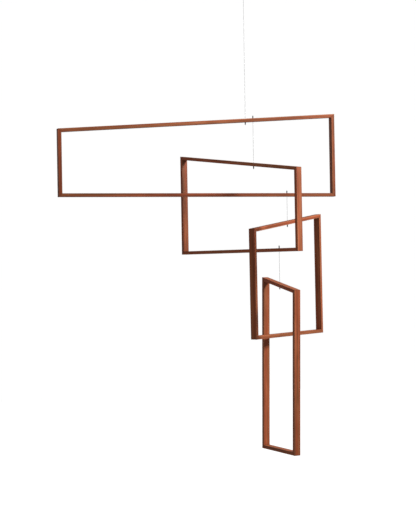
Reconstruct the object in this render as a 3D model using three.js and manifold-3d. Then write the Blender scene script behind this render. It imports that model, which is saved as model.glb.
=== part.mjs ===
// A hanging mobile of four wooden frames. Each frame hangs on its own steel cable and can turn on it.
// Every frame is four flat bars, mitred at the corners. Its top rail slopes, so one stile is longer.
// Units are millimetres and Z is up. The origin is the middle of the ceiling plate's flat top.
// X runs along the longest frame, and its front faces -Y.

import * as THREE from "three";
import { mergeVertices } from "three/addons/utils/BufferGeometryUtils.js";
import Module from "manifold-3d";

const wasm = await Module();
wasm.setup();

// Wooden bars
const barThickness = 9.5;
const barDepth = 19;
const easedEdge = 0.9;
const mitreGap = 0.3;

// Longest frame. Reaches are measured from its cable, and heights over the outside of its stiles.
const longLeftReach = 531;
const longRightReach = 264;
const longLeftHeight = 182;
const longRightHeight = 233.5;
const longHang = 366;
const longTilt = -0.1;

// Wide frame, which hangs on the top rail of the longest one
const wideLeftReach = 313;
const wideRightReach = 181.5;
const wideLeftHeight = 289.5;
const wideRightHeight = 226.5;
const wideAlong = 22.5;
const wideHang = 123.5;
const wideTurn = -67.8;
const wideTilt = -0.2;

// Square frame, which hangs on the bottom rail of the longest one
const squareLeftReach = 177;
const squareRightReach = 162.5;
const squareLeftHeight = 300;
const squareRightHeight = 343;
const squareAlong = 120;
const squareHang = 77.5;
const squareTurn = 35.6;
const squareTilt = -0.5;

// Tall frame, which hangs on the bottom rail of the wide one
const tallLeftReach = 75;
const tallRightReach = 86.5;
const tallLeftHeight = 474.5;
const tallRightHeight = 444.5;
const tallAlong = 98;
const tallHang = 95;
const tallTurn = -9.8;
const tallTilt = 1.6;

// Steel cables and the stops pressed on them
const cableRadius = 0.4;
const drillRadius = 1;
const stopRadius = 1.6;
const stopLength = 6.5;
const stopChamfer = 0.4;
const cableTail = 1.5;
const fitGap = 0.3;

// Turned ceiling plate with the barrel that grips the top cable
const plateRadius = 20;
const plateThickness = 4;
const plateEdge = 1.2;
const barrelRadius = 5;
const barrelLength = 18;
const barrelFillet = 4;
const plateCap = 3;
const screwHoleRadius = 2;
const screwHeadRadius = 3.8;
const screwSinkDepth = 2;
const screwHoleReach = 13.5;
const gripScrewRadius = 1.5;
const gripScrewHeight = 7;
const gripSocketRadius = 0.85;
const gripSocketDepth = 1.8;

const degree = Math.PI / 180;
const cableBore = cableRadius + fitGap;

// Woods and metals
function wood(color) {
  return new THREE.MeshStandardMaterial({ color, roughness: 0.45, metalness: 0 });
}
const cableSteel = new THREE.MeshStandardMaterial({ color: 0xb9bbbc, roughness: 0.35, metalness: 0.9 });
const stopMetal = new THREE.MeshStandardMaterial({ color: 0x4c4a49, roughness: 0.45, metalness: 0.8 });
const plateMetal = new THREE.MeshStandardMaterial({ color: 0xc4c6c8, roughness: 0.3, metalness: 0.9 });
const woods = {
  left_stile: wood(0x86503a),
  top_rail: wood(0x9c5a3e),
  right_stile: wood(0xa2614a),
  bottom_rail: wood(0x7d4832),
};

// A closed three.js shape as a solid that can be cut.
function solidOf(geometry) {
  const bare = new THREE.BufferGeometry();
  bare.setAttribute("position", geometry.getAttribute("position").clone());
  if (geometry.index) bare.setIndex(geometry.index.clone());
  const merged = mergeVertices(bare, 1e-4);
  return new wasm.Manifold(
    new wasm.Mesh({
      numProp: 3,
      vertProperties: new Float32Array(merged.getAttribute("position").array),
      triVerts: new Uint32Array(merged.index.array),
    }),
  );
}

// A cut solid as a three.js shape with flat faces.
function geometryOf(solid) {
  const mesh = solid.getMesh();
  const indexed = new THREE.BufferGeometry();
  indexed.setAttribute("position", new THREE.BufferAttribute(mesh.vertProperties, 3));
  indexed.setIndex(new THREE.BufferAttribute(mesh.triVerts, 1));
  const geometry = indexed.toNonIndexed();
  geometry.computeVertexNormals();
  return geometry;
}

function named(name, geometry, material) {
  const mesh = new THREE.Mesh(geometry, material);
  mesh.name = name;
  return mesh;
}

// An upright round rod between two heights, for drilling.
function drill(radius, x, y, low, high) {
  const rod = new THREE.CylinderGeometry(radius, radius, high - low, 24);
  rod.rotateX(Math.PI / 2).translate(x, y, (low + high) / 2);
  return solidOf(rod);
}

// A body turned about Z from a profile of [radius, height] points, listed from the bottom outwards.
function turned(profile, segments) {
  const points = profile.map(([radius, height]) => new THREE.Vector2(radius, height));
  return new THREE.LatheGeometry(points, segments).rotateX(Math.PI / 2);
}

// Profile points along an arc about a [radius, height] point, between two angles in degrees.
function arc([x, z], radius, from, to, steps) {
  return Array.from({ length: steps + 1 }, (_, i) => {
    const angle = (from + ((to - from) * i) / steps) * degree;
    return [x + radius * Math.cos(angle), z + radius * Math.sin(angle)];
  });
}

// The bar's section: across its thickness from its outer face inwards, and through its depth.
function barSection() {
  const section = new THREE.Shape();
  const [low, high] = [easedEdge, barThickness - easedEdge];
  const side = barDepth / 2 - easedEdge;
  section.absarc(low, -side, easedEdge, Math.PI, 1.5 * Math.PI);
  section.absarc(high, -side, easedEdge, 1.5 * Math.PI, 2 * Math.PI);
  section.absarc(high, side, easedEdge, 0, 0.5 * Math.PI);
  section.absarc(low, side, easedEdge, 0.5 * Math.PI, Math.PI);
  section.closePath();
  return section;
}

// A bar from one outer corner to the next. The section is carried along the bar, and each of its
// lines stops at the mitre plane, which halves the frame's angle at that corner.
function mitredBar(start, end, startAngle, endAngle) {
  const along = new THREE.Vector2().subVectors(end, start).normalize();
  const inward = new THREE.Vector2(along.y, -along.x);
  const length = start.distanceTo(end);
  const setback = (across, angle) =>
    across / Math.tan(angle / 2) + mitreGap / 2 / Math.sin(angle / 2);
  const bar = new THREE.ExtrudeGeometry(barSection(), {
    depth: 1,
    bevelEnabled: false,
    curveSegments: 2,
  });
  const spots = bar.getAttribute("position");
  for (let i = 0; i < spots.count; i++) {
    const across = spots.getX(i);
    const from = setback(across, startAngle);
    const to = length - setback(across, endAngle);
    const reach = from + (to - from) * spots.getZ(i);
    spots.setXYZ(
      i,
      start.x + along.x * reach + inward.x * across,
      spots.getY(i),
      start.y + along.y * reach + inward.y * across,
    );
  }
  return bar;
}

// The angle between two edges that meet at a corner.
function cornerAngle(corner, one, other) {
  const a = new THREE.Vector2().subVectors(one, corner);
  const b = new THREE.Vector2().subVectors(other, corner);
  return a.angleTo(b);
}

// A frame's own sizes, worked out once. Its local origin is on the top rail, where its cable is.
function frameShape({ name, leftReach, rightReach, leftHeight, rightHeight, tilt }) {
  const slope = (rightHeight - leftHeight) / (leftReach + rightReach);
  const heightAtCable = leftHeight + slope * leftReach;
  const bottom = -heightAtCable;
  const corners = [
    new THREE.Vector2(-leftReach, bottom),
    new THREE.Vector2(-leftReach, bottom + leftHeight),
    new THREE.Vector2(rightReach, bottom + rightHeight),
    new THREE.Vector2(rightReach, bottom),
  ];
  return { name, corners, slope, bottom, tilt: tilt * degree };
}

// Height of a rail's upper face above the frame's local origin, at a distance from its cable.
function railTop(shape, rail, along) {
  return rail === "top" ? shape.slope * along : shape.bottom + barThickness;
}

// The upright thickness of a rail, and how steep it hangs once the frame's tilt is counted.
function railUpright(shape, rail) {
  const pitch = rail === "top" ? Math.atan(shape.slope) : 0;
  return { pitch: pitch - shape.tilt, thickness: barThickness / Math.cos(pitch) };
}

// The four bars of a frame, with the cable holes that its rails need.
function frameBars(shape, holes) {
  const { corners } = shape;
  const names = ["left_stile", "top_rail", "right_stile", "bottom_rail"];
  const angles = corners.map((corner, i) =>
    cornerAngle(corner, corners[(i + 3) % 4], corners[(i + 1) % 4]),
  );
  return names.map((bar, i) => {
    const next = (i + 1) % 4;
    let solid = solidOf(mitredBar(corners[i], corners[next], angles[i], angles[next]));
    for (const { rail, along } of holes) {
      if (bar !== `${rail}_rail`) continue;
      const top = railTop(shape, rail, along);
      const rod = drill(drillRadius, along, 0, top - 2 * barThickness, top + barThickness);
      solid = solid.subtract(rod);
    }
    return named(`${shape.name}_frame_${bar}`, geometryOf(solid), woods[bar]);
  });
}

// A straight cable between two heights of its group.
function cable(name, low, high) {
  const section = new THREE.Shape();
  section.absarc(0, 0, cableRadius, 0, 2 * Math.PI);
  const path = new THREE.LineCurve3(new THREE.Vector3(0, 0, low), new THREE.Vector3(0, 0, high));
  const tube = new THREE.ExtrudeGeometry(section, { steps: 12, curveSegments: 4, extrudePath: path });
  return named(`${name}_wire`, geometryOf(solidOf(tube)), cableSteel);
}

// A short sleeve pressed on a cable, standing on a height of its group.
function stop(name, low) {
  const high = low + stopLength;
  const sleeve = turned(
    [
      [cableBore, low],
      [stopRadius - stopChamfer, low],
      [stopRadius, low + stopChamfer],
      [stopRadius, high - stopChamfer],
      [stopRadius - stopChamfer, high],
      [cableBore, high],
      [cableBore, low],
    ],
    20,
  );
  return named(`${name}_stop`, geometryOf(solidOf(sleeve)), stopMetal);
}

// How far a stop keeps from a sloping rail so that its near edge has the fit gap.
function stopClearance(pitch) {
  return fitGap + stopRadius * Math.abs(Math.tan(pitch));
}

// The lower end of a hanging cable: through the frame's top rail, with a stop and a tail under it.
function lowerEnd(shape) {
  const { pitch, thickness } = railUpright(shape, "top");
  const stopLow = -thickness - stopClearance(pitch) - stopLength;
  return { stopLow, cableLow: stopLow - cableTail };
}

// A group that hangs plumb under its cable and is turned about it. The frame is tilted inside it.
function hung(shape, turn, holes) {
  const group = new THREE.Group();
  group.rotation.z = turn * degree;
  const tilted = new THREE.Group();
  tilted.rotation.y = shape.tilt;
  tilted.add(...frameBars(shape, [{ rail: "top", along: 0 }, ...holes]));
  group.add(tilted);
  return group;
}

// Hangs a frame under a rail of the frame that carries it, with its cable and both stops.
function hangUnder(carrier, carrierShape, rail, along, group, shape, hang) {
  const { pitch } = railUpright(carrierShape, rail);
  const place = new THREE.Vector3(along, 0, railTop(carrierShape, rail, along));
  place.applyAxisAngle(new THREE.Vector3(0, 1, 0), carrierShape.tilt);
  group.position.set(place.x, 0, place.z - hang);
  const stopLow = hang + stopClearance(pitch);
  const end = lowerEnd(shape);
  group.add(
    cable(`${shape.name}_frame`, end.cableLow, stopLow + stopLength + cableTail),
    stop(`${shape.name}_frame_wire_top`, stopLow),
    stop(`${shape.name}_frame_wire_bottom`, end.stopLow),
  );
  carrier.add(group);
}

// The ceiling plate: a turned disc, a fillet and a barrel, with a blind bore for the cable, two
// countersunk screw holes, and a cross hole for the grip screw.
function ceilingPlate() {
  const bottom = -plateThickness - barrelLength;
  const filletCentre = [barrelRadius + barrelFillet, -plateThickness - barrelFillet];
  const edgeCentre = [plateRadius - plateEdge, -plateThickness + plateEdge];
  const body = turned(
    [
      [0, -plateCap],
      [cableBore, -plateCap],
      [cableBore, bottom],
      [barrelRadius - stopChamfer, bottom],
      [barrelRadius, bottom + stopChamfer],
      ...arc(filletCentre, barrelFillet, 180, 90, 6),
      ...arc(edgeCentre, plateEdge, -90, 0, 4),
      [plateRadius, 0],
      [0, 0],
    ],
    48,
  );
  let solid = solidOf(body);
  for (const side of [-1, 1]) {
    const x = side * screwHoleReach;
    solid = solid.subtract(drill(screwHoleRadius, x, 0, -2 * plateThickness, plateThickness));
    const sink = new THREE.CylinderGeometry(screwHoleRadius, screwHeadRadius, screwSinkDepth, 24);
    sink.rotateX(Math.PI / 2).translate(x, 0, -plateThickness + screwSinkDepth / 2);
    solid = solid.subtract(solidOf(sink));
  }
  const cross = new THREE.CylinderGeometry(
    gripScrewRadius + fitGap,
    gripScrewRadius + fitGap,
    2 * barrelRadius,
    20,
  );
  cross.translate(0, -barrelRadius, bottom + gripScrewHeight);
  solid = solid.subtract(solidOf(cross));
  return named("ceiling_plate", geometryOf(solid), plateMetal);
}

// The headless screw in the barrel's front, which grips the cable. It has a six-sided socket.
function gripScrew() {
  const inner = cableBore;
  const length = barrelRadius - inner;
  const height = -plateThickness - barrelLength + gripScrewHeight;
  const body = new THREE.CylinderGeometry(gripScrewRadius, gripScrewRadius, length, 20);
  body.translate(0, -inner - length / 2, height);
  const socket = new THREE.CylinderGeometry(gripSocketRadius, gripSocketRadius, 2 * gripSocketDepth, 6);
  socket.translate(0, -barrelRadius, height);
  const solid = solidOf(body).subtract(solidOf(socket));
  return named("ceiling_grip_screw", geometryOf(solid), stopMetal);
}

const longShape = frameShape({
  name: "long",
  leftReach: longLeftReach,
  rightReach: longRightReach,
  leftHeight: longLeftHeight,
  rightHeight: longRightHeight,
  tilt: longTilt,
});
const wideShape = frameShape({
  name: "wide",
  leftReach: wideLeftReach,
  rightReach: wideRightReach,
  leftHeight: wideLeftHeight,
  rightHeight: wideRightHeight,
  tilt: wideTilt,
});
const squareShape = frameShape({
  name: "square",
  leftReach: squareLeftReach,
  rightReach: squareRightReach,
  leftHeight: squareLeftHeight,
  rightHeight: squareRightHeight,
  tilt: squareTilt,
});
const tallShape = frameShape({
  name: "tall",
  leftReach: tallLeftReach,
  rightReach: tallRightReach,
  leftHeight: tallLeftHeight,
  rightHeight: tallRightHeight,
  tilt: tallTilt,
});

// The longest frame hangs from the ceiling plate and carries the other three.
const longGroup = hung(longShape, 0, [
  { rail: "top", along: wideAlong },
  { rail: "bottom", along: squareAlong },
]);
longGroup.position.z = -longHang;
const wideGroup = hung(wideShape, wideTurn, [{ rail: "bottom", along: tallAlong }]);
const squareGroup = hung(squareShape, squareTurn, []);
const tallGroup = hung(tallShape, tallTurn, []);
hangUnder(longGroup, longShape, "top", wideAlong, wideGroup, wideShape, wideHang);
hangUnder(longGroup, longShape, "bottom", squareAlong, squareGroup, squareShape, squareHang);
hangUnder(wideGroup, wideShape, "bottom", tallAlong, tallGroup, tallShape, tallHang);

const longEnd = lowerEnd(longShape);
longGroup.add(
  cable("ceiling", longEnd.cableLow, longHang - plateCap - fitGap),
  stop("ceiling_wire", longEnd.stopLow),
);

const mobile = new THREE.Group();
mobile.add(ceilingPlate(), gripScrew(), longGroup);

export default mobile;
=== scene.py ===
import math

import bmesh
import bpy
import numpy as np
from mathutils import Matrix, Vector


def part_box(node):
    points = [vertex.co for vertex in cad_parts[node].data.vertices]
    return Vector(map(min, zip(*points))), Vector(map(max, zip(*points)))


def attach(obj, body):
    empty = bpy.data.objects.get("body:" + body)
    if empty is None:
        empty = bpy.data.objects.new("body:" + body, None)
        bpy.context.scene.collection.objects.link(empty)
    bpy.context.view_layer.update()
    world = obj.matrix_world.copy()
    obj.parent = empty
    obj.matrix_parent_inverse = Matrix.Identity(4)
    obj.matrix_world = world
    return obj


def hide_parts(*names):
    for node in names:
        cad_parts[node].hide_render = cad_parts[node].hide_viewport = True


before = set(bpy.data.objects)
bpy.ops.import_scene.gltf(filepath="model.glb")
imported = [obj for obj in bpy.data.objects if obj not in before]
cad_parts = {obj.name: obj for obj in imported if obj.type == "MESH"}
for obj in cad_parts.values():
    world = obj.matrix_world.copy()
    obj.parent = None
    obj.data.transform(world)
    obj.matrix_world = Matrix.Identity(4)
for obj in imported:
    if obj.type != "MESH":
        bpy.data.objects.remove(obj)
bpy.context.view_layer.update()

# Viewpoint. The mobile is seen from eye height, 3.8 m away and a little to the left of its cables,
# through a long lens that keeps its upright bars almost parallel. The picture is 416 x 520.
camera_place = (-1.2795, -3.6265, -0.772)
camera_heading = 17.8
camera_pitch = 0.23
camera_roll = 0.91
camera_lens = 95.8

camera = bpy.data.objects.new("camera", bpy.data.cameras.new("camera"))
camera.data.lens = camera_lens
camera.matrix_world = (
    Matrix.Translation(camera_place)
    @ Matrix.Rotation(math.radians(-camera_heading), 4, "Z")
    @ Matrix.Rotation(math.radians(90 + camera_pitch), 4, "X")
    @ Matrix.Rotation(math.radians(-camera_roll), 4, "Z")
)
bpy.context.scene.collection.objects.link(camera)
bpy.context.scene.camera = camera


# Steel cables. Each is a fine cable of six strands laid round a seventh, held straight and plumb
# by the frame that hangs on it. The top one runs up into the ceiling plate, and the others through
# a drilled hole in the rail that carries them and one in the rail that they carry.
full_turn = 2 * math.pi
meeting_distance = 2e-6
plain_crease = 40
cable_crease = 60

cable_radius = 0.0004
strand_radius = cable_radius / 3
strand_count = 6
strand_lay = 0.0065
ring_step = 0.00065
points_per_strand = 6
plate_mouth = -0.022

drawn_dull = (0.34, 0.345, 0.35, 1)
drawn_bright = (0.50, 0.505, 0.51, 1)
# painted shade: the dark grey put into the valleys between the strands
valley_shade = (0.07, 0.07, 0.072, 1)
cable_rough = (0.28, 0.45)


def grid_faces(rows, columns):
    """Faces of a grid of points: each joins two neighbours in a row to the same two in the next."""
    spot = np.arange(rows * columns).reshape(rows, columns)
    corners = [spot[:-1, :-1], spot[:-1, 1:], spot[1:, 1:], spot[1:, :-1]]
    return np.stack(corners, -1).reshape(-1, 4)


def make_piece(name, grids, material, uv=None, attributes=None, skip=None, crease=plain_crease):
    """One closed mesh from grids of points, each rows x columns x 3. Points that meet are merged,
    which closes seams and poles, and the faces are turned outwards. uv gives each grid's UV map,
    attributes each grid's values at its points, and skip the faces to leave out of each grid. An
    edge is sharp where its faces turn by more than the crease angle."""
    counts = [g.shape[0] * g.shape[1] for g in grids]
    starts = np.concatenate([[0], np.cumsum(counts)[:-1]])
    faces = []
    for i, grid in enumerate(grids):
        kept = grid_faces(*grid.shape[:2])
        if skip is not None and skip[i] is not None:
            kept = kept[~skip[i].ravel()]
        faces.append(kept + starts[i])
    points = np.concatenate([g.reshape(-1, 3) for g in grids])
    corners = np.concatenate(faces)

    mesh = bpy.data.meshes.new(name)
    mesh.vertices.add(len(points))
    mesh.vertices.foreach_set("co", points.astype(np.float32).ravel())
    mesh.loops.add(corners.size)
    mesh.loops.foreach_set("vertex_index", corners.ravel())
    mesh.polygons.add(len(corners))
    mesh.polygons.foreach_set("loop_start", np.arange(0, corners.size, 4))
    mesh.update(calc_edges=True)
    if uv is not None:
        flat = np.concatenate([u.reshape(-1, 2) for u in uv])[corners.ravel()]
        layer = mesh.uv_layers.new(name="along")
        layer.data.foreach_set("uv", flat.astype(np.float32).ravel())
    for label, values in (attributes or {}).items():
        flat = np.concatenate([v.reshape(len(v) * v.shape[1], -1) for v in values])
        kind, slot = ("FLOAT_VECTOR", "vector") if flat.shape[1] == 3 else ("FLOAT", "value")
        attribute = mesh.attributes.new(label, kind, "POINT")
        attribute.data.foreach_set(slot, flat.astype(np.float32).ravel())

    shape = bmesh.new()
    shape.from_mesh(mesh)
    bmesh.ops.remove_doubles(shape, verts=shape.verts, dist=meeting_distance)
    bmesh.ops.recalc_face_normals(shape, faces=shape.faces)
    shape.to_mesh(mesh)
    shape.free()
    mesh.polygons.foreach_set("use_smooth", np.ones(len(mesh.polygons), bool))
    mesh.set_sharp_from_angle(angle=math.radians(crease))
    mesh.materials.append(material)
    piece = bpy.data.objects.new(name, mesh)
    bpy.context.scene.collection.objects.link(piece)
    return piece


def add_node(tree, kind, inputs=None, **settings):
    """A node in a tree. Settings are its properties, and inputs are values or other outputs."""
    node = tree.nodes.new("ShaderNode" + kind)
    for label, value in settings.items():
        setattr(node, label, value)
    for label, value in (inputs or {}).items():
        if isinstance(value, bpy.types.NodeSocket):
            tree.links.new(value, node.inputs[label])
        else:
            node.inputs[label].default_value = value
    return node


def new_material(name, **plain):
    """A material with one Principled shader, and the values that are the same all over it."""
    material = bpy.data.materials.new(name)
    material.use_nodes = True
    tree = material.node_tree
    shader = tree.nodes["Principled BSDF"]
    for label, value in plain.items():
        shader.inputs[label.replace("_", " ")].default_value = value
    return material, tree, shader


def streak_group():
    """Long soft streaks: noise squeezed so that one streak is Length long and Width wide, along
    the first axis of Place. Low and High are the parts of the noise that become 0 and 1."""
    group = bpy.data.node_groups.new("streaks", "ShaderNodeTree")
    group.interface.new_socket("Place", in_out="INPUT", socket_type="NodeSocketVector")
    for label, usual in [
        ("Length", 0.05),
        ("Width", 0.001),
        ("Wander", 0.3),
        ("Low", 0.35),
        ("High", 0.65),
    ]:
        made = group.interface.new_socket(label, in_out="INPUT", socket_type="NodeSocketFloat")
        made.default_value = usual
    group.interface.new_socket("Streak", in_out="OUTPUT", socket_type="NodeSocketFloat")
    given = add_node(group, "CombineXYZ")
    entry = group.nodes.new("NodeGroupInput")
    leave = group.nodes.new("NodeGroupOutput")
    for axis, label in zip("XYZ", ["Length", "Width", "Width"]):
        shrink = add_node(group, "Math", {0: 1.0, 1: entry.outputs[label]}, operation="DIVIDE")
        group.links.new(shrink.outputs[0], given.inputs[axis])
    scaled = add_node(
        group,
        "VectorMath",
        {0: entry.outputs["Place"], 1: given.outputs[0]},
        operation="MULTIPLY",
    )
    noise = add_node(
        group,
        "TexNoise",
        {
            "Vector": scaled.outputs[0],
            "Scale": 1.0,
            "Detail": 3.0,
            "Roughness": 0.55,
            "Distortion": entry.outputs["Wander"],
        },
    )
    spread = add_node(
        group,
        "MapRange",
        {
            "Value": noise.outputs["Fac"],
            "From Min": entry.outputs["Low"],
            "From Max": entry.outputs["High"],
        },
        interpolation_type="SMOOTHSTEP",
    )
    group.links.new(spread.outputs["Result"], leave.inputs["Streak"])
    return group


streaks = streak_group()


def add_streaks(tree, place, length, width, wander=0.3, low=0.35, high=0.65):
    """The streaks of the shared group at a place, with their own size."""
    values = {"Length": length, "Width": width, "Wander": wander, "Low": low, "High": high}
    node = tree.nodes.new("ShaderNodeGroup")
    node.node_tree = streaks
    tree.links.new(place, node.inputs["Place"])
    for label, value in values.items():
        node.inputs[label].default_value = value
    return node.outputs["Streak"]


def add_mix(tree, amount, first, second, blend="MIX"):
    """A colour between two, or the second laid over the first in another blend. A Mix node's
    sockets for colours share their labels with others, so they are found by their place."""
    mix = add_node(tree, "Mix", data_type="RGBA", blend_type=blend)
    for place, value in [(0, amount), (6, first), (7, second)]:
        if isinstance(value, bpy.types.NodeSocket):
            tree.links.new(value, mix.inputs[place])
        else:
            mix.inputs[place].default_value = value
    return mix.outputs[2]


def add_range(tree, value, start, end):
    """A value from 0 to 1 spread evenly from start to end."""
    node = add_node(tree, "MapRange", {"Value": value, "To Min": start, "To Max": end})
    return node.outputs["Result"]


def cable_steel():
    """Bright drawn steel, with painted shade: dark grey in the valleys between strands. The cosine
    of the angle round the cable, six times over, is 1 on a strand and -1 in a valley."""
    material, tree, shader = new_material("cable_steel", Metallic=0.85)
    place = add_node(tree, "UVMap", uv_map="along").outputs[0]
    parts = add_node(tree, "SeparateXYZ", {0: place})
    turns = add_node(
        tree,
        "Math",
        {0: parts.outputs["X"], 1: full_turn * strand_count},
        operation="MULTIPLY",
    )
    crown = add_node(tree, "Math", {0: turns.outputs[0]}, operation="COSINE")
    height = add_node(
        tree, "MapRange", {"Value": crown.outputs[0], "From Min": -1.0, "From Max": 0.2}
    )
    own_place = add_node(tree, "TexCoord").outputs["Object"]
    dull = add_streaks(tree, own_place, length=0.004, width=0.0006)
    steel = add_mix(tree, dull, drawn_dull, drawn_bright)
    # the valleys between strands take the painted shade colour, the strand crowns the steel
    colour = add_mix(tree, height.outputs["Result"], valley_shade, steel)
    tree.links.new(colour, shader.inputs["Base Color"])
    tree.links.new(add_range(tree, dull, *cable_rough), shader.inputs["Roughness"])
    return material


def cable_surface(x, y, low, high):
    """A laid cable from one height to another. Its section is the outline of six round strands on
    a ring: at an angle t from a strand's middle the outline is R cos t + sqrt(r2 - R2 sin2 t) from
    the centre. The section turns once in each lay length. Also gives its UV map, which is the part
    of a turn and the height, and the line through its middle."""
    ring = cable_radius - strand_radius
    around = np.linspace(0, full_turn, strand_count * points_per_strand + 1)
    pitch = full_turn / strand_count
    near = (around + pitch / 2) % pitch - pitch / 2
    room_left = np.maximum(strand_radius**2 - (ring * np.sin(near)) ** 2, 0)
    reach = ring * np.cos(near) + np.sqrt(room_left)
    heights = np.linspace(low, high, round((high - low) / ring_step) + 1)
    turn = around[None, :] + full_turn * (heights[:, None] - low) / strand_lay
    levels = np.broadcast_to(heights[:, None], turn.shape)
    tube = np.stack([x + reach * np.cos(turn), y + reach * np.sin(turn), levels], -1)
    ends = [np.broadcast_to([x, y, z], (1, len(around), 3)) for z in (low, high)]
    skin = np.concatenate([ends[0], tube, ends[1]])
    along = np.concatenate([[low], heights, [high]])
    uv = np.stack(np.broadcast_arrays(around[None, :] / full_turn, along[:, None]), -1)
    line = np.stack([np.full_like(heights, x), np.full_like(heights, y), heights], -1)
    return skin, uv, line


def middle_of(node):
    """The middle of a CAD node in plan, and its lowest and highest points."""
    low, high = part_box(node)
    return (low.x + high.x) / 2, (low.y + high.y) / 2, low.z, high.z


# Pressed stops. A short soft-metal sleeve with a dark finish is squeezed on the cable above and
# below each rail, in two bites of the crimping tool, which leave two waists and a fine seam on
# each side. The lowest one shows pale in the photo, so its finish is taken as worn off.
stop_radius = 0.0016
stop_chamfer = 0.0004
stop_columns = 48
stop_rows = 25
bite_places = (0.3, 0.7)
bite_depth = 0.00022
bite_width = 0.0009
bite_beside_jaws = 0.45
seam_height = 0.00006
seam_spread = 0.002

finish_dark = (0.026, 0.023, 0.021, 1)
finish_rubbed = (0.080, 0.072, 0.066, 1)
finish_rough = (0.52, 0.36)
bare_metal = (0.52, 0.53, 0.55, 1)
bare_stops = ["tall_frame_wire_bottom_stop"]
bare_share = 0.9


def stop_metal():
    """Blackened soft metal, rubbed brighter in small spots. Bare is how much finish is gone."""
    material, tree, shader = new_material("stop_metal", Metallic=0.8)
    place = add_node(tree, "TexCoord").outputs["Object"]
    bare = add_node(tree, "Attribute", attribute_name="bare").outputs["Fac"]
    rubbed = add_streaks(
        tree, place, length=0.0012, width=0.0006, wander=0.8, low=0.45, high=0.75
    )
    finish = add_mix(tree, rubbed, finish_dark, finish_rubbed)
    tree.links.new(add_mix(tree, bare, finish, bare_metal), shader.inputs["Base Color"])
    tree.links.new(add_range(tree, rubbed, *finish_rough), shader.inputs["Roughness"])
    return material


def lathe(radii, heights, around):
    """A surface round an upright axis: at angle t each row's points lie at (r cos t, r sin t, h).
    The radius r may differ from angle to angle."""
    radii = np.broadcast_to(radii, (len(heights), len(around)))
    levels = np.broadcast_to(heights[:, None], radii.shape)
    return np.stack([radii * np.cos(around), radii * np.sin(around), levels], -1)


def stop_surface(x, y, low, high):
    """A sleeve round the cable: a closed profile carried once round. Its outside is drawn in by
    two bell curves of height, deeper across the jaws, and stands up in a fine seam where the jaws
    met, on both sides."""
    around = np.linspace(0, full_turn, stop_columns + 1)
    heights = np.linspace(low + stop_chamfer, high - stop_chamfer, stop_rows)
    bites = sum(
        np.exp(-(((heights - low - (high - low) * place) / bite_width) ** 2))
        for place in bite_places
    )[:, None]
    jaws = bite_beside_jaws + (1 - bite_beside_jaws) * np.cos(around) ** 2
    seam = sum(np.exp(-((np.sin(around) - side) ** 2) / seam_spread) for side in (1, -1))
    wall = stop_radius - bite_depth * bites * jaws + seam_height * bites * seam
    bore = np.full((1, len(around)), cable_radius)
    face = np.full((1, len(around)), stop_radius - stop_chamfer)
    radii = np.concatenate([bore, face, wall, face, bore, bore])
    levels = np.concatenate([[low, low], heights, [high, high, low]])
    return lathe(radii, levels, around) + [x, y, 0]


steel = cable_steel()
dark_metal = stop_metal()
for body, stop_ends in [
    ("ceiling", ["stop"]),
    ("wide_frame", ["top_stop", "bottom_stop"]),
    ("square_frame", ["top_stop", "bottom_stop"]),
    ("tall_frame", ["top_stop", "bottom_stop"]),
]:
    node = f"{body}_wire"
    stop_nodes = [f"{node}_{end}" for end in stop_ends]
    for stop_node in stop_nodes:
        skin = stop_surface(*middle_of(stop_node))
        bare = np.full(skin.shape[:2], bare_share if stop_node in bare_stops else 0.0)
        sleeve = make_piece(f"{stop_node}_sleeve", [skin], dark_metal, attributes={"bare": [bare]})
        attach(sleeve, body)
        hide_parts(stop_node)
    x, y, low, high = middle_of(node)
    skin, uv, line = cable_surface(x, y, low, high)
    cable = make_piece(f"{node}_cable", [skin], steel, uv=[uv], crease=cable_crease)
    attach(cable, body)
    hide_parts(node)


# Ceiling plate. A disc and barrel turned from one piece of brass and nickel plated, which two
# countersunk screws hold to the ceiling. The cable runs up into the barrel's blind bore, and a
# small headless screw in the barrel's front grips it there.
plate_radius = 0.020
plate_thickness = 0.004
plate_edge = 0.0012
plate_cap = 0.003
barrel_radius = 0.005
barrel_fillet = 0.004
barrel_lip = 0.0025
fine_chamfer = 0.0003
cable_bore = 0.0007
screw_spot = 0.0135
screw_head = 0.0038
screw_shank = 0.002
cross_floor = -0.00074
cross_depth = 0.0021

turned_columns = 96
seam_angle = math.pi / 4
fillet_steps = 8
edge_steps = 6
patch_lines = 9
patch_inner_gap = 0.00025
patch_outer_gap = 0.0015
screw_patch_half = 6
cross_patch_half = 7
cross_patch_reach = 0.0024
rings_in = (0, 0.4, 0.7, 0.9)
rings_out = (0.1, 0.3, 0.6, 1)

grip_height = -0.015
grip_radius = 0.0015
grip_pitch = 0.0005
grip_thread = 0.00027
grip_columns = 48
grip_rows = 57
grip_tip = 0.0008
tip_cup_radius = 0.0007
tip_cup_depth = 0.0003
tip_edge_radius = 0.0012
tip_edge_slope = 0.00015
thread_from_tip = 0.0004
thread_to_face = 0.00025
face_radius = 0.00125
socket_corner = 0.00085
socket_depth = 0.0018

nickel_bright = (0.66, 0.64, 0.60, 1)
nickel_dull = (0.52, 0.50, 0.47, 1)
nickel_rough = (0.20, 0.34)


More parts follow.
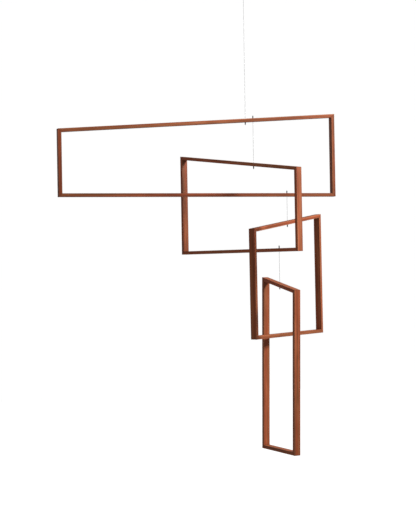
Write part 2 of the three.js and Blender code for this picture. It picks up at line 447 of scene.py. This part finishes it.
def plated_nickel():
    """Nickel over turned brass: fine rings from the lathe round its axis, and soft dull patches."""
    material, tree, shader = new_material("plated_nickel", Metallic=1.0)
    place = add_node(tree, "TexCoord").outputs["Object"]
    parts = add_node(tree, "SeparateXYZ", {0: place})
    in_plan = add_node(tree, "VectorMath", {0: place, 1: (1, 1, 0)}, operation="MULTIPLY")
    radius = add_node(tree, "VectorMath", {0: in_plan.outputs[0]}, operation="LENGTH")
    turned = add_node(
        tree, "CombineXYZ", {"Y": radius.outputs["Value"], "Z": parts.outputs["Z"]}
    )
    rings = add_streaks(
        tree, turned.outputs[0], length=1.0, width=0.00012, wander=0.0, low=0.3, high=0.7
    )
    dull = add_streaks(tree, place, length=0.012, width=0.009, wander=0.6, low=0.4, high=0.7)
    tree.links.new(add_mix(tree, dull, nickel_bright, nickel_dull), shader.inputs["Base Color"])
    tree.links.new(add_range(tree, dull, *nickel_rough), shader.inputs["Roughness"])
    bump = add_node(tree, "Bump", {"Height": rings, "Strength": 0.35, "Distance": 0.00002})
    tree.links.new(bump.outputs["Normal"], shader.inputs["Normal"])
    return material


def quarter_turn(centre, radius, start, end, steps):
    """Points (radius, height) of an arc about a centre, from one angle in degrees to another."""
    angles = np.radians(np.linspace(start, end, steps + 1))
    return np.stack([centre[0] + radius * np.cos(angles), centre[1] + radius * np.sin(angles)], -1)


def outline_of(patch):
    """The closed outline of a patch of a grid, as one row of points that ends where it starts."""
    return np.concatenate([patch[:-1, 0], patch[-1, :-1], patch[:0:-1, -1], patch[0, ::-1]])


def hole_rings(outline, circles, far_outline=None):
    """Rings of points that lead from a patch's outline in to a circle, on down through the circles
    and, for a hole that comes out again, from the last one to an outline on the far face. The
    rings between an outline and a circle lie a fixed part of the way from one to the other."""
    first, last = circles[0], circles[-1]
    rings = [outline + (first - outline) * part for part in rings_in] + list(circles)
    if far_outline is not None:
        rings += [last + (far_outline - last) * part for part in rings_out]
    return np.stack(rings)


def to_polar(points):
    """Points (x, y, z) as (angle, radius, z), with angles from the turned grids' seam upwards."""
    x, y, z = np.moveaxis(points, -1, 0)
    angle = (np.arctan2(y, x) - seam_angle) % full_turn + seam_angle
    return np.stack([angle, np.hypot(x, y), z], -1)


def from_polar(points):
    """Points (angle, radius, z) as (radius x cos angle, radius x sin angle, z)."""
    angle, radius, z = np.moveaxis(points, -1, 0)
    return np.stack([radius * np.cos(angle), radius * np.sin(angle), z], -1)


def plate_grids():
    """The plate as a profile of radius and height carried once round, from the top of the bore
    down, out and up to the middle of the flat top. A patch is left out round each screw hole on
    both faces and round the barrel's cross hole, and rings of points lead from its outline into
    the hole."""
    foot = plate_mouth
    patch_radii = np.linspace(
        barrel_radius + barrel_fillet + patch_inner_gap,
        plate_radius - patch_outer_gap,
        patch_lines,
    )
    patch_heights = grip_height + np.linspace(-cross_patch_reach, cross_patch_reach, patch_lines)
    fillet_centre = (barrel_radius + barrel_fillet, -plate_thickness - barrel_fillet)
    edge_centre = (plate_radius - plate_edge, -plate_thickness + plate_edge)
    parts = {
        "bore": [(0, -plate_cap), (cable_bore, -plate_cap), (cable_bore, foot + fine_chamfer)],
        "mouth": [(cable_bore + fine_chamfer, foot), (barrel_radius - fine_chamfer, foot)],
        "lip": [(barrel_radius, foot + fine_chamfer), (barrel_radius, foot + barrel_lip)],
        "barrel": np.stack([np.full(patch_lines, barrel_radius), patch_heights], -1),
        "fillet": quarter_turn(fillet_centre, barrel_fillet, 180, 90, fillet_steps),
        "underside": np.stack([patch_radii, np.full(patch_lines, -plate_thickness)], -1),
        "edge": quarter_turn(edge_centre, plate_edge, -90, 0, edge_steps),
        "rim": [(plate_radius, -fine_chamfer), (plate_radius - fine_chamfer, 0)],
        "top": np.stack([patch_radii[::-1], np.zeros(patch_lines)], -1),
        "middle": [(0, 0)],
    }
    starts = dict(zip(parts, np.cumsum([0] + [len(part) for part in parts.values()])))
    profile = np.concatenate([np.asarray(part, float) for part in parts.values()])
    around = np.linspace(0, full_turn, turned_columns + 1) + seam_angle
    body = np.stack(np.broadcast_arrays(around, profile[:, :1], profile[:, 1:]), -1)
    skip = np.zeros((body.shape[0] - 1, body.shape[1] - 1), bool)

    def patch_of(part, angle, half, flip=False):
        """Marks the faces of one patch as left out and gives the patch's outline."""
        middle = round((math.radians(angle) - seam_angle) / full_turn * turned_columns)
        rows = np.arange(starts[part], starts[part] + patch_lines)
        columns = np.arange(middle - half, middle + half + 1)
        skip[rows[0] : rows[-1], columns[0] : columns[-1]] = True
        return outline_of(body[np.ix_(rows[::-1] if flip else rows, columns)])

    holes = []
    for angle, side in [(180, -1), (360, 1)]:
        under = patch_of("underside", angle, screw_patch_half)
        top = patch_of("top", angle, screw_patch_half, flip=True)
        spot = from_polar(under)
        bearing = np.arctan2(spot[:, 1], spot[:, 0] - side * screw_spot)
        circles = []
        for radius, height in [
            (screw_head, -plate_thickness),
            (screw_shank, -plate_thickness / 2),
            (screw_shank, -fine_chamfer),
            (screw_shank + fine_chamfer, 0),
        ]:
            x = side * screw_spot + radius * np.cos(bearing)
            y = radius * np.sin(bearing)
            circles.append(to_polar(np.stack([x, y, np.full_like(x, height)], -1)))
        holes.append(hole_rings(under, circles, top))

    front = patch_of("barrel", 270, cross_patch_half)
    spot = from_polar(front)
    bearing = np.arctan2(spot[:, 2] - grip_height, spot[:, 0])
    circles = []
    for radius, depth in [
        (grip_radius + 2 * fine_chamfer, 0),
        (grip_radius + fine_chamfer, fine_chamfer),
        (grip_radius + fine_chamfer, cross_depth),
    ]:
        x = radius * np.cos(bearing)
        y = depth - np.sqrt(barrel_radius**2 - x**2)
        circles.append(to_polar(np.stack([x, y, grip_height + radius * np.sin(bearing)], -1)))
    cross = from_polar(hole_rings(front, circles))
    rim = cross[-1] * [1, 0, 1] + [0, cross_floor, 0]
    middle = np.broadcast_to([0, cross_floor, grip_height], rim.shape)
    cross = np.concatenate([cross, [rim, (rim + middle) / 2, middle]])
    return [from_polar(body), *map(from_polar, holes), cross], [skip, None, None, None]


def grip_surface():
    """A headless screw: a cup point, a ridge that climbs one pitch in each turn, and a six-sided
    socket whose outline at an angle t is c cos 30 / cos(t - the middle of its side)."""
    around = np.linspace(0, full_turn, grip_columns + 1)
    rows = np.linspace(grip_tip + thread_from_tip, barrel_radius - thread_to_face, grip_rows)
    climb = (rows[:, None] / grip_pitch - around / full_turn) % 1
    fade = np.clip(np.minimum(rows - rows[0], rows[-1] - rows) / grip_pitch, 0, 1)[:, None]
    ridge = grip_radius - grip_thread * (1 - np.abs(2 * climb - 1)) * fade
    side_turn = full_turn / 6
    six = socket_corner * math.cos(side_turn / 2) / np.cos(around % side_turn - side_turn / 2)
    full = np.ones((1, len(around)))
    profile = [
        (0 * full, grip_tip + tip_cup_depth),
        (tip_cup_radius * full, grip_tip),
        (tip_edge_radius * full, grip_tip + tip_edge_slope),
        (ridge, rows),
        (face_radius * full, barrel_radius),
        (six[None, :], barrel_radius),
        (six[None, :], barrel_radius - socket_depth),
        (0 * full, barrel_radius - socket_depth),
    ]
    radii = np.concatenate([radius for radius, _ in profile])
    heights = np.concatenate([np.atleast_1d(height) for _, height in profile])
    across, up, out = np.moveaxis(lathe(radii, heights, around), -1, 0)
    return np.stack([across, -out, grip_height + up], -1)


nickel = plated_nickel()
plate_surfaces, plate_skips = plate_grids()
for node, grids, skips, material, slot in [
    ("ceiling_plate", plate_surfaces, plate_skips, nickel, "plate_metal"),
    ("ceiling_grip_screw", [grip_surface()], None, dark_metal, "stop_metal"),
]:
    fitting = make_piece(f"{node}_turned", grids, material, skip=skips)
    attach(fitting, "ceiling")
    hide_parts(node)


# Wooden frames. Each is four flat bars of oiled red-brown hardwood, mitred, glued and sanded
# flush, with eased arrises. The top rail slopes, so one stile is longer than the other. A rail
# that a cable passes through has a small hole drilled down through it.
bar_thickness = 0.0095
bar_depth = 0.019
eased_edge = 0.0006
edge_wander = 0.0001
long_wave = 0.031
short_wave = 0.0117
wave_shift = 2.3
joint_line = 0.00002
joint_easing = 0.00012
drill_radius = 0.001
drill_rim = 0.0002
drill_levels = (0.25, 0.5, 0.75)

patch_reach = 0.007
patch_steps = 16
station_step = 0.012
arc_steps = 5
thin_points = 5
wide_end_line = 0.985
thin_end_line = 0.95
arris_reach = 0.0022
board_spread = (0.1, 0.9)
ring_angle = 0.9

grain_colours = [
    (0.0, (0.085, 0.024, 0.008, 1)),
    (0.3, (0.19, 0.050, 0.018, 1)),
    (0.55, (0.31, 0.083, 0.031, 1)),
    (0.8, (0.43, 0.125, 0.050, 1)),
    (1.0, (0.56, 0.18, 0.08, 1)),
]
band_share = 0.40
figure_share = 0.22
fibre_share = 0.14
red_tint = (1.05, 0.84, 0.80, 1)
brown_tint = (0.97, 1.11, 1.08, 1)
pore_colour = (0.06, 0.017, 0.008, 1)
pore_share = 0.55
rubbed_colour = (0.50, 0.19, 0.10, 1)
rubbed_share = 0.30
soaked_colour = (0.14, 0.038, 0.017, 1)
glue_colour = (0.05, 0.014, 0.007, 1)
fibre_rough = (0.40, 0.52)
pore_rough = 0.18
oil_coat = (0.02, 0.07)
fibre_relief = 0.35
pore_relief = -1.0


def oiled_wood():
    """Red-brown hardwood under thin oil. Its place is each bar's own: the first axis runs along
    the grain. Bands are growth rings, figure is the slow change along a board, fibres and pores
    are the fine lines, and tone is how pale the board is as a whole. Oil soaks in darker beside
    a joint, a glue line shows in it, and the arrises are rubbed paler."""
    material, tree, shader = new_material(
        "oiled_wood", Coat_Roughness=0.35, IOR=1.45, Specular_IOR_Level=0.25
    )
    place = add_node(tree, "Attribute", attribute_name="board").outputs["Vector"]
    tone, arris, joint = [
        add_node(tree, "Attribute", attribute_name=label).outputs["Fac"]
        for label in ("tone", "arris", "joint")
    ]
    bands = add_streaks(tree, place, length=0.35, width=0.0032, wander=0.5, low=0.34, high=0.66)
    figure = add_streaks(tree, place, length=0.09, width=0.016, wander=0.8, low=0.3, high=0.7)
    fibres = add_streaks(tree, place, length=0.03, width=0.0005, wander=0.2, low=0.3, high=0.7)
    pores = add_streaks(
        tree, place, length=0.0045, width=0.00022, wander=0.1, low=0.60, high=0.72
    )
    warmth = add_streaks(tree, place, length=0.45, width=0.0043, wander=0.7, low=0.42, high=0.58)

    def times_plus(value, factor, addend=0.0):
        """The value times a factor, plus another value."""
        node = add_node(
            tree, "Math", {0: value, 1: factor, 2: addend}, operation="MULTIPLY_ADD"
        )
        return node.outputs[0]

    level = times_plus(bands, band_share, tone)
    level = times_plus(figure, figure_share, level)
    level = times_plus(fibres, fibre_share, level)
    ramp = add_node(tree, "ValToRGB", {"Fac": level})
    colours = ramp.color_ramp.elements
    while len(colours) < len(grain_colours):
        colours.new(0.5)
    for element, (at, colour) in zip(colours, grain_colours):
        element.position = at
        element.color = colour
    tint = add_mix(tree, warmth, red_tint, brown_tint)
    colour = add_mix(tree, 1.0, ramp.outputs["Color"], tint, blend="MULTIPLY")
    colour = add_mix(tree, times_plus(pores, pore_share), colour, pore_colour)
    colour = add_mix(tree, times_plus(arris, rubbed_share), colour, rubbed_colour)
    soaked = add_node(
        tree,
        "MapRange",
        {"Value": joint, "From Min": 0.0, "From Max": 0.004, "To Min": 0.25, "To Max": 0.0},
        interpolation_type="SMOOTHSTEP",
    )
    colour = add_mix(tree, soaked.outputs["Result"], colour, soaked_colour)
    glue = add_node(
        tree,
        "MapRange",
        {"Value": joint, "From Min": 0.00008, "From Max": 0.00035, "To Min": 0.7, "To Max": 0.0},
    )
    colour = add_mix(tree, glue.outputs["Result"], colour, glue_colour)
    tree.links.new(colour, shader.inputs["Base Color"])

    rough = times_plus(pores, pore_rough, add_range(tree, fibres, *fibre_rough))
    tree.links.new(rough, shader.inputs["Roughness"])
    tree.links.new(add_range(tree, figure, *oil_coat), shader.inputs["Coat Weight"])
    relief = times_plus(pores, pore_relief, times_plus(fibres, fibre_relief))
    bump = add_node(tree, "Bump", {"Height": relief, "Strength": 0.5, "Distance": 0.00006})
    tree.links.new(bump.outputs["Normal"], shader.inputs["Normal"])
    return material


def section_outline(radius):
    """The bar's section at each of several arris radii, as (across, depth) points: four flats
    joined by quarter circles, from the outer face round by the back, the inner face and the front.
    Each flat has a line of points close inside its ends, which keeps it flat up to the arris."""
    radius = np.asarray(radius)[:, None]
    half_thick, half_deep = bar_thickness / 2, bar_depth / 2
    wide_line = np.linspace(-wide_end_line, wide_end_line, patch_steps + 1)
    thin_line = np.linspace(-thin_end_line, thin_end_line, thin_points)
    wide = np.concatenate([[-1], wide_line, [1]])
    thin = np.concatenate([[-1], thin_line, [1]])
    turn = np.linspace(0, math.pi / 2, arc_steps + 1)[1:-1]
    deep, thick = half_deep - radius, half_thick - radius
    still = np.zeros_like(radius)
    across = [
        still + 0 * wide - half_thick,
        -thick - radius * np.cos(turn),
        thick * thin,
        thick + radius * np.sin(turn),
        still + 0 * wide + half_thick,
        thick + radius * np.cos(turn),
        -thick * thin,
        -thick - radius * np.sin(turn),
    ]
    depth = [
        deep * wide,
        deep + radius * np.sin(turn),
        still + 0 * thin + half_deep,
        deep + radius * np.cos(turn),
        -deep * wide,
        -deep - radius * np.sin(turn),
        still + 0 * thin - half_deep,
        -deep - radius * np.cos(turn),
    ]

    def closed(rows):
        """Rows of points along the outline, each ending at the point where it starts."""
        rows = np.concatenate(rows, 1)
        return np.concatenate([rows, rows[:, :1]], 1)

    return closed(across) + half_thick, closed(depth)


def stations_along(length, holes):
    """Distances along a bar for its cross lines: even steps, three close ones at each mitre, and a
    close even set across each drilled hole."""
    even = np.linspace(0, length, max(round(length / station_step), 4) + 1)
    ends = np.array([0, joint_easing, 3 * joint_easing])
    near_hole = [np.linspace(h - patch_reach, h + patch_reach, patch_steps + 1) for h in holes]
    clear = np.ones_like(even, bool)
    clear[[0, -1]] = False
    for hole in holes:
        clear &= np.abs(even - hole) > patch_reach + station_step / 4
    return np.sort(np.concatenate([even[clear], ends, length - ends, *near_hole]))


def bar_grids(start, end, start_angle, end_angle, holes, phase):
    """A mitred bar in (along, across, depth) measured from its outer edge at the start corner.
    Around each hole, rings of points lead from a rectangle on one face to the drill's circle, down
    through the bar, and out to the same rectangle on the other. The arris radius wanders as the
    sum of two sine waves along the bar. Also gives how far each point lies from the mitres."""
    run = end - start
    length = np.linalg.norm(run)
    run = run / length
    inward = np.array([run[1], -run[0]])

    def mitre(across, angle):
        """How far in from a corner the bar's end lies: across / tan(half the corner's angle), and
        on top of it what leaves half a joint line open, its width / sin(half the angle)."""
        return across / math.tan(angle / 2) + joint_line / math.sin(angle / 2)

    def spots_of(hole, across):
        """How far along the bar a plumb line lies that stands at a distance from the cable."""
        return (hole - start[0] - inward[0] * across) / run[0]

    half = bar_thickness / 2
    first, last = mitre(half, start_angle), length - mitre(half, end_angle)
    middles = [spots_of(h, half) - first for h in holes]
    stations = stations_along(last - first, middles)
    share = stations / (last - first)
    wave = np.sin(stations / long_wave + phase) + np.sin(stations / short_wave + wave_shift * phase)
    across, depth = section_outline(eased_edge + edge_wander * wave / 2)
    for row in (0, -1):
        across[row] = half + (across[row] - half) * (1 - joint_easing / half)
        depth[row] *= 1 - 2 * joint_easing / bar_depth
    low, high = mitre(across, start_angle), length - mitre(across, end_angle)
    body = np.stack([low + (high - low) * share[:, None], across, depth], -1)
    caps = [
        np.stack([body[row], np.broadcast_to(body[row, :-1].mean(0), body[row].shape)])
        for row in (0, -1)
    ]

    skip = np.zeros((body.shape[0] - 1, body.shape[1] - 1), bool)
    wide_points = patch_steps + 3
    inner_start = wide_points + (arc_steps - 1) + (thin_points + 2) + (arc_steps - 1)
    outer_columns = np.arange(1, wide_points - 1)
    inner_columns = inner_start + np.arange(1, wide_points - 1)[::-1]
    drilled = []
    for hole, middle in zip(holes, middles):
        first_row = int(np.argmin(np.abs(stations - middle + patch_reach)))
        rows = np.arange(first_row, first_row + patch_steps + 1)
        skip[rows[0] : rows[-1], outer_columns[0] : outer_columns[-1]] = True
        skip[rows[0] : rows[-1], inner_columns[-1] : inner_columns[0]] = True
        outer = outline_of(body[np.ix_(rows, outer_columns)])
        inner = outline_of(body[np.ix_(rows, inner_columns)])
        bearing = np.arctan2(outer[:, 2], (outer[:, 0] - spots_of(hole, 0)) * np.sign(run[0]))
        circles = []
        for radius, across_at in [
            (drill_radius + drill_rim, 0),
            (drill_radius, drill_rim),
            *[(drill_radius, bar_thickness * part) for part in drill_levels],
            (drill_radius, bar_thickness - drill_rim),
            (drill_radius + drill_rim, bar_thickness),
        ]:
            along = spots_of(hole + radius * np.cos(bearing), across_at)
            level = np.full_like(along, across_at)
            circles.append(np.stack([along, level, radius * np.sin(bearing)], -1))
        drilled.append(hole_rings(outer, circles, inner))
    grids = [body, *caps, *drilled]
    skips = [skip] + [None] * (len(grids) - 1)

    def joint_distance(grid):
        """How far along the bar each point lies from the nearer mitre."""
        before = grid[..., 0] - mitre(grid[..., 1], start_angle)
        after = length - mitre(grid[..., 1], end_angle) - grid[..., 0]
        return np.maximum(np.minimum(before, after), 0)

    return grids, skips, [joint_distance(g) for g in grids]


def board_place(grid, seed):
    """A bar's points in the wood that it was sawn from: moved to a part of the tree of its own, and
    turned about the grain so that the growth rings cross its section at an angle of their own."""
    draw = np.random.default_rng(seed)
    part_of_tree, angle = draw.uniform(*board_spread, 3), draw.uniform(-ring_angle, ring_angle)
    across, depth = grid[..., 1], grid[..., 2]
    ring = across * math.cos(angle) - depth * math.sin(angle)
    ray = across * math.sin(angle) + depth * math.cos(angle)
    return np.stack([grid[..., 0], ring, ray], -1) + part_of_tree


def arris_nearness(grid):
    """1 on a bar's arrises, falling evenly to 0 at the arris reach from them."""
    across = np.minimum(grid[..., 1], bar_thickness - grid[..., 1])
    depth = bar_depth / 2 - np.abs(grid[..., 2])
    return np.clip(1 - np.hypot(across, depth) / arris_reach, 0, 1)


def corner_angle(corner, one, other):
    """The angle between two edges at a corner: its cosine is their product over their lengths."""
    a, b = one - corner, other - corner
    return math.acos(a @ b / (np.linalg.norm(a) * np.linalg.norm(b)))


def rotation(axis, degrees):
    """A turn about an axis through the origin, as a 4 x 4 array."""
    return np.array(Matrix.Rotation(math.radians(degrees), 4, axis))


def shift(x, z):
    """A move sideways and upwards in a frame's own plane, as a 4 x 4 array."""
    moved = np.eye(4)
    moved[:3, 3] = x, 0, z
    return moved


# A frame's own plane has its cable's hole in the top rail's upper edge as its origin. The reaches
# run from there to the left and right ends, the heights are those of the two stiles, and the hang
# is how far the hole lies below the one that it hangs on. Turns and tilts are in degrees.
wood = oiled_wood()
bar_names = ["left_stile", "top_rail", "right_stile", "bottom_rail"]
frames = {
    "long": dict(
        reaches=(0.531, 0.264),
        heights=(0.182, 0.2335),
        hangs_on=None,
        hang=0.366,
        turn=0,
        tilt=-0.1,
        holes={"top_rail": (0, 0.0225), "bottom_rail": (0.12,)},
        tones=(0.07, 0.27, 0.03, 0.03),
    ),
    "wide": dict(
        reaches=(0.313, 0.1815),
        heights=(0.2895, 0.2265),
        hangs_on=("long", "top_rail", 0.0225),
        hang=0.1235,
        turn=-67.8,
        tilt=-0.2,
        holes={"top_rail": (0,), "bottom_rail": (0.098,)},
        tones=(0.05, 0.31, 0.19, 0.31),
    ),
    "square": dict(
        reaches=(0.177, 0.1625),
        heights=(0.3, 0.343),
        hangs_on=("long", "bottom_rail", 0.12),
        hang=0.0775,
        turn=35.6,
        tilt=-0.5,
        holes={"top_rail": (0,)},
        tones=(0.17, 0.17, 0.24, 0.16),
    ),
    "tall": dict(
        reaches=(0.075, 0.0865),
        heights=(0.4745, 0.4445),
        hangs_on=("wide", "bottom_rail", 0.098),
        hang=0.095,
        turn=-9.8,
        tilt=1.6,
        holes={"top_rail": (0,)},
        tones=(0.24, 0.29, 0.17, 0.14),
    ),
}
hung = {}
for number, (frame_name, sizes) in enumerate(frames.items()):
    left, right = sizes["reaches"]
    left_height, right_height = sizes["heights"]
    slope = (right_height - left_height) / (left + right)
    bottom = -(left_height + slope * left)
    corners = np.array(
        [
            [-left, bottom],
            [-left, bottom + left_height],
            [right, bottom + right_height],
            [right, bottom],
        ]
    )
    if sizes["hangs_on"] is None:
        plumb = shift(0, -sizes["hang"])
    else:
        carrier, rail, along = sizes["hangs_on"]
        other = hung[carrier]
        top = other["slope"] * along if rail == "top_rail" else other["bottom"] + bar_thickness
        on_rail = other["tilted"] @ np.array([along, 0, top, 1])
        x, _, z, _ = np.linalg.inv(other["plumb"]) @ on_rail
        plumb = other["plumb"] @ shift(x, z - sizes["hang"]) @ rotation("Z", sizes["turn"])
    tilted = plumb @ rotation("Y", sizes["tilt"])
    hung[frame_name] = dict(slope=slope, bottom=bottom, plumb=plumb, tilted=tilted)

    angles = [corner_angle(corners[i], corners[i - 1], corners[(i + 1) % 4]) for i in range(4)]
    for i, bar_name in enumerate(bar_names):
        start, end = corners[i], corners[(i + 1) % 4]
        holes = sizes["holes"].get(bar_name, ())
        seed = 10 * number + i
        grids, skips, joints = bar_grids(start, end, angles[i], angles[(i + 1) % 4], holes, seed)
        run = (end - start) / np.linalg.norm(end - start)
        placed = []
        for grid in grids:
            x = start[0] + run[0] * grid[..., 0] + run[1] * grid[..., 1]
            z = start[1] + run[1] * grid[..., 0] - run[0] * grid[..., 1]
            local = np.stack([x, grid[..., 2], z, np.ones_like(x)], -1)
            placed.append((local @ tilted.T)[..., :3])
        node = f"{frame_name}_frame_{bar_name}"
        bar = make_piece(
            f"{node}_wood",
            placed,
            wood,
            attributes={
                "board": [board_place(g, seed) for g in grids],
                "arris": [arris_nearness(g) for g in grids],
                "joint": joints,
                "tone": [np.full(g.shape[:2], sizes["tones"][i]) for g in grids],
            },
            skip=skips,
        )
        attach(bar, f"{frame_name}_frame")
        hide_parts(node)


# Studio. A plain pale floor lies 5 m under the ceiling, and one soft box shines from the front
# right and above. The room is white, and gives the sides that face away from the soft box a low
# fill. Where the camera looks past the mobile, the room is a little over full white.
floor_height = -5
floor_reach = 40
floor_glow = 0.9
room_white = (1, 1, 1, 1)
room_fill = 0.265
room_seen = 1.005
box_bearing = 55
box_height = 32
box_distance = 2.6
box_side = 0.6
box_power = 86
mobile_middle = np.array([-0.05, 0.05, -0.75])

floor_material, _, _ = new_material(
    "studio_floor",
    Base_Color=(0.9, 0.9, 0.9, 1),
    Roughness=0.9,
    Emission_Color=room_white,
    Emission_Strength=floor_glow,
)
floor_sides = np.array([-floor_reach, floor_reach])
flat_x, flat_y = np.meshgrid(floor_sides, floor_sides)
floor_points = np.stack([flat_x, flat_y, np.full((2, 2), floor_height)], -1)
floor = make_piece("studio_floor", [floor_points], floor_material)
floor.visible_diffuse = False
floor.visible_glossy = False

world = bpy.data.worlds.new("studio_room")
world.use_nodes = True
room = world.node_tree
seen = add_node(room, "Background", {"Color": room_white, "Strength": room_seen})
fill = add_node(room, "Background", {"Color": room_white, "Strength": room_fill})
rays = add_node(room, "LightPath")
choice = add_node(
    room,
    "MixShader",
    {0: rays.outputs["Is Camera Ray"], 1: fill.outputs[0], 2: seen.outputs[0]},
)
room.links.new(choice.outputs[0], room.nodes["World Output"].inputs["Surface"])
bpy.context.scene.world = world

bearing, rise = math.radians(box_bearing), math.radians(box_height)
towards_box = np.array(
    [math.sin(bearing) * math.cos(rise), -math.cos(bearing) * math.cos(rise), math.sin(rise)]
)
soft_box = bpy.data.objects.new("soft_box", bpy.data.lights.new("soft_box", "AREA"))
soft_box.data.shape = "SQUARE"
soft_box.data.size = box_side
soft_box.data.energy = box_power
soft_box.location = mobile_middle + box_distance * towards_box
soft_box.rotation_mode = "QUATERNION"
soft_box.rotation_quaternion = Vector(towards_box).to_track_quat("Z", "Y")
bpy.context.scene.collection.objects.link(soft_box)
bpy.context.scene.view_settings.view_transform = "Standard"
